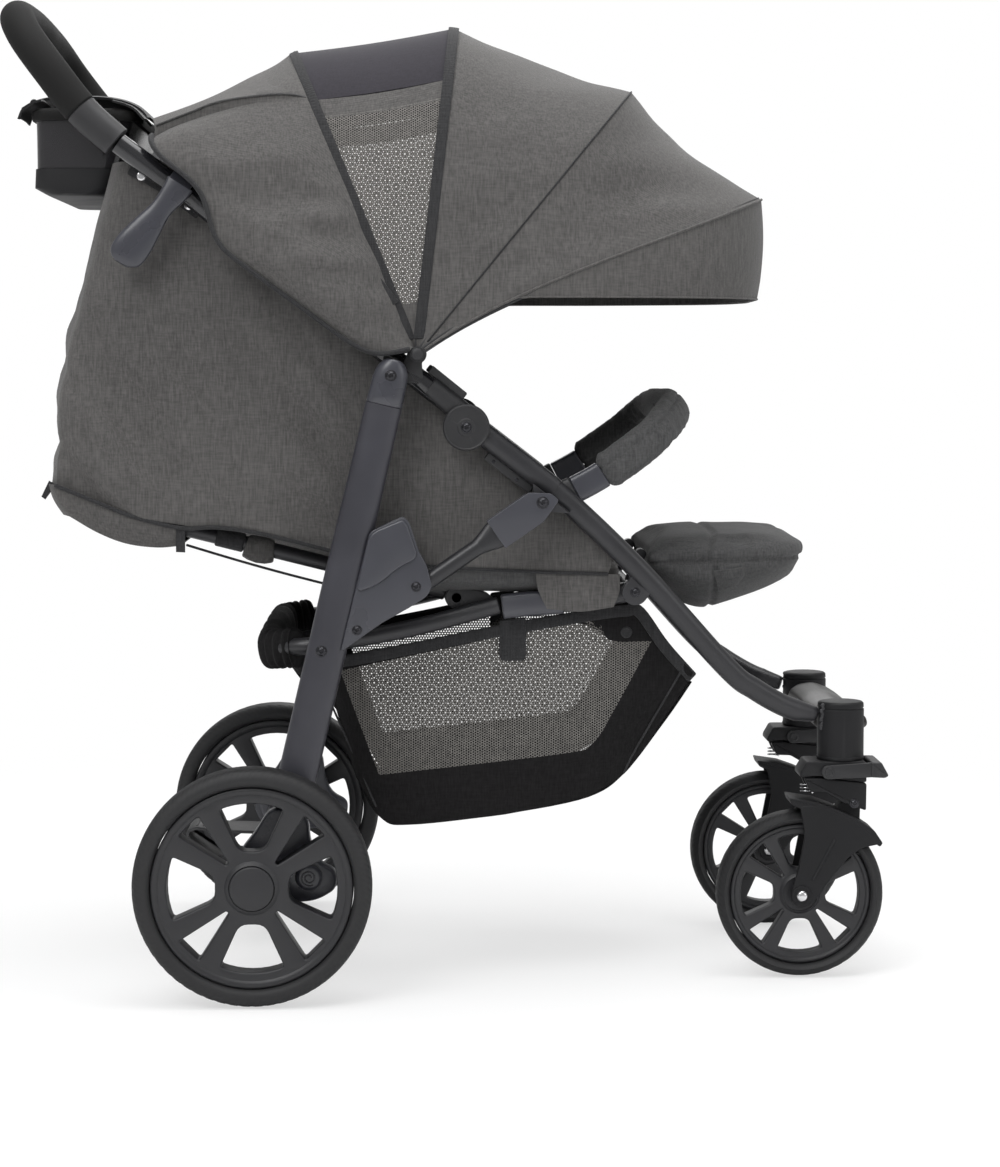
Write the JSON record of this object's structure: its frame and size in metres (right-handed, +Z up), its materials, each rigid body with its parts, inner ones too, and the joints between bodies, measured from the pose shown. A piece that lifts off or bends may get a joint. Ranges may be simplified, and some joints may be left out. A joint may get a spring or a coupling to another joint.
{
  "type": "travel system stroller",
  "caption": "Folding child's stroller with swivel front castors, reclining seat, stepped canopy, guard bar, parent tray and a cloth basket under the seat.",
  "frame": {"origin": "on the floor, in the middle of the stroller's overall length and width", "axes": "+X the direction of travel, +Z up, +Y the rider's left; the stroller is the same on both sides of Y = 0"},
  "size_m": [0.9388, 0.604, 1.0348],
  "materials": {
    "frame": "satin black powder coat on light alloy tube",
    "plastic": "satin moulded plastic",
    "gloss": "semi-gloss moulded plastic",
    "foam": "matte foam",
    "tyre": "matte",
    "rim": "satin moulded plastic",
    "smoke": "smoky clear plastic over a dark tray",
    "steel": "bright steel",
    "charcoal_cloth": "plain charcoal weave",
    "black_cloth": "black weave",
    "vent_mesh": "grey mesh over charcoal"
  },
  "bodies": {
    "front_frame": {"front_leg_R": "frame", "front_leg_L": "frame", "footplate": "foam", "castor_housing_R": "plastic", "castor_housing_L": "plastic", "fold_hinge_R": "plastic", "fold_hinge_L": "plastic"},
    "handle_frame": {"handle_tube_R": "frame", "handle_tube_L": "frame", "handle_grip": "foam", "parent_tray": "smoke", "stand_paddle_R": "gloss", "stand_paddle_L": "gloss", "canopy_bow_1": "plastic", "canopy_rear": "charcoal_cloth", "side_cover": "charcoal_cloth"},
    "tray_lid": {"tray_lid": "plastic"},
    "rear_frame": {"rear_leg_R": "frame", "rear_leg_L": "frame", "gusset_R": "plastic", "gusset_L": "plastic", "axle_housing_R": "plastic", "axle_housing_L": "plastic", "rear_axle": "frame"},
    "brake_pedal": {"brake_pedal": "plastic"},
    "braces": {"brace_R": "frame", "brace_L": "frame"},
    "seat_frame": {"seat_frame": "frame", "seat_pad": "charcoal_cloth", "harness_buckle": "plastic"},
    "seat_link": {"seat_link": "frame", "recline_hinge": "frame", "basket": "black_cloth"},
    "backrest": {"backrest_frame": "frame", "backrest_pad": "charcoal_cloth"},
    "calf_rest": {"calf_rest": "black_cloth"},
    "bumper": {"bumper_bar": "black_cloth"},
    "bow_2": {"canopy_bow_2": "plastic", "canopy_vent": "vent_mesh"},
    "bow_3": {"canopy_bow_3": "plastic", "canopy_mid": "charcoal_cloth"},
    "bow_4": {"canopy_bow_4": "plastic", "canopy_front": "charcoal_cloth", "visor": "charcoal_cloth"},
    "rear_wheel_R": {"rear_tyre_R": "tyre", "rear_rim_R": "rim"},
    "castor_R": {"castor_fork_R": "plastic", "fork_spring_R": "steel"},
    "lock_lever_R": {"lock_lever_R": "plastic"},
    "wheel_fork_R": {"wheel_fork_R": "plastic"},
    "front_wheel_R": {"front_tyre_R": "tyre", "front_rim_R": "rim"},
    "rear_wheel_L": {"rear_tyre_L": "tyre", "rear_rim_L": "rim"},
    "castor_L": {"castor_fork_L": "plastic", "fork_spring_L": "steel"},
    "lock_lever_L": {"lock_lever_L": "plastic"},
    "wheel_fork_L": {"wheel_fork_L": "plastic"},
    "front_wheel_L": {"front_tyre_L": "tyre", "front_rim_L": "rim"}
  },
  "joints": [
    {"name": "frame_fold", "type": "hinge", "parent": "front_frame", "child": "handle_frame", "pos_m": [0.0113, 0, 0.5837], "axis": [0, -1, 0], "range_deg": [0, 105], "deforming": ["side_cover"]},
    {"name": "leg_fold", "type": "hinge", "parent": "handle_frame", "child": "rear_frame", "pos_m": [-0.0652, 0, 0.6363], "axis": [0, -1, 0], "range_deg": [-69.3, 0]},
    {"name": "brace_fold", "type": "hinge", "parent": "front_frame", "child": "braces", "pos_m": [0.0884, 0, 0.508], "axis": [0, -1, 0], "range_deg": [0, 60.9]},
    {"name": "seat_fold", "type": "hinge", "parent": "front_frame", "child": "seat_frame", "pos_m": [0.1854, 0, 0.4135], "axis": [0, -1, 0], "range_deg": [-12.6, 0]},
    {"name": "link_fold", "type": "hinge", "parent": "seat_frame", "child": "seat_link", "pos_m": [0.0589, 0, 0.401], "axis": [0, -1, 0], "range_deg": [0, 96.6], "deforming": ["basket"]},
    {"name": "backrest_recline", "type": "hinge", "parent": "seat_link", "child": "backrest", "pos_m": [0.0019, 0, 0.406], "axis": [0, -1, 0], "range_deg": [-45, 0]},
    {"name": "canopy_fold", "type": "hinge", "parent": "handle_frame", "child": "bow_2", "pos_m": [-0.0386, 0, 0.658], "axis": [0, -1, 0], "range_deg": [0, 24], "deforming": ["canopy_vent"]},
    {"name": "bow_3_fold", "type": "hinge", "parent": "bow_2", "child": "bow_3", "pos_m": [-0.0386, 0, 0.658], "axis": [0, -1, 0], "range_deg": [0, 28], "deforming": ["canopy_mid"]},
    {"name": "bow_4_fold", "type": "hinge", "parent": "bow_3", "child": "bow_4", "pos_m": [-0.0386, 0, 0.658], "axis": [0, -1, 0], "range_deg": [0, 21.7], "deforming": ["canopy_front"]},
    {"name": "calf_rest_tilt", "type": "hinge", "parent": "seat_frame", "child": "calf_rest", "pos_m": [0.1999, 0, 0.445], "axis": [0, -1, 0], "range_deg": [-30, 0]},
    {"name": "bumper_release", "type": "slide", "parent": "front_frame", "child": "bumper", "axis": [0.8511, 0, 0.525], "range_m": [0, 0.12]},
    {"name": "tray_lid_hinge", "type": "hinge", "parent": "handle_frame", "child": "tray_lid", "pos_m": [-0.4446, 0, 0.935], "axis": [0, -1, 0], "range_deg": [0, 65]},
    {"name": "brake_pedal_press", "type": "hinge", "parent": "rear_frame", "child": "brake_pedal", "pos_m": [-0.2061, 0, 0.122], "axis": [0, -1, 0], "range_deg": [0, 15]},
    {"name": "rear_wheel_R_roll", "type": "hinge", "parent": "rear_frame", "child": "rear_wheel_R", "pos_m": [-0.2061, -0.28, 0.122], "axis": [0, -1, 0], "continuous": true},
    {"name": "castor_R_swivel", "type": "hinge", "parent": "front_frame", "child": "castor_R", "pos_m": [0.4082, -0.1465, 0.2316], "axis": [0, 0, 1], "continuous": true},
    {"name": "swivel_lock_R", "type": "hinge", "parent": "castor_R", "child": "lock_lever_R", "pos_m": [0.3926, -0.1465, 0.2204], "axis": [0, -1, 0], "range_deg": [0, 6]},
    {"name": "suspension_R", "type": "hinge", "parent": "castor_R", "child": "wheel_fork_R", "pos_m": [0.4204, -0.1465, 0.1869], "axis": [0, -1, 0], "range_deg": [-8, 0], "stiffness_Nm_per_rad": 40, "springref_deg": 6.88, "deforming": ["fork_spring_R"]},
    {"name": "front_wheel_R_roll", "type": "hinge", "parent": "wheel_fork_R", "child": "front_wheel_R", "pos_m": [0.3654, -0.1465, 0.0891], "axis": [0, -1, 0], "continuous": true},
    {"name": "rear_wheel_L_roll", "type": "hinge", "parent": "rear_frame", "child": "rear_wheel_L", "pos_m": [-0.2061, 0.28, 0.122], "axis": [0, -1, 0], "continuous": true},
    {"name": "castor_L_swivel", "type": "hinge", "parent": "front_frame", "child": "castor_L", "pos_m": [0.4082, 0.1465, 0.2316], "axis": [0, 0, 1], "continuous": true},
    {"name": "swivel_lock_L", "type": "hinge", "parent": "castor_L", "child": "lock_lever_L", "pos_m": [0.3926, 0.1465, 0.2204], "axis": [0, -1, 0], "range_deg": [0, 6]},
    {"name": "suspension_L", "type": "hinge", "parent": "castor_L", "child": "wheel_fork_L", "pos_m": [0.4204, 0.1465, 0.1869], "axis": [0, -1, 0], "range_deg": [-8, 0], "stiffness_Nm_per_rad": 40, "springref_deg": 6.88, "deforming": ["fork_spring_L"]},
    {"name": "front_wheel_L_roll", "type": "hinge", "parent": "wheel_fork_L", "child": "front_wheel_L", "pos_m": [0.3654, 0.1465, 0.0891], "axis": [0, -1, 0], "continuous": true}
  ],
  "couplings": [
    {"joint": "leg_fold", "follows": "frame_fold", "ratio": -0.66},
    {"joint": "brace_fold", "follows": "frame_fold", "ratio": 0.58},
    {"joint": "seat_fold", "follows": "frame_fold", "ratio": -0.12},
    {"joint": "link_fold", "follows": "frame_fold", "ratio": 0.92},
    {"joint": "bow_3_fold", "follows": "canopy_fold", "ratio": 1.1667},
    {"joint": "bow_4_fold", "follows": "canopy_fold", "ratio": 0.9}
  ]
}
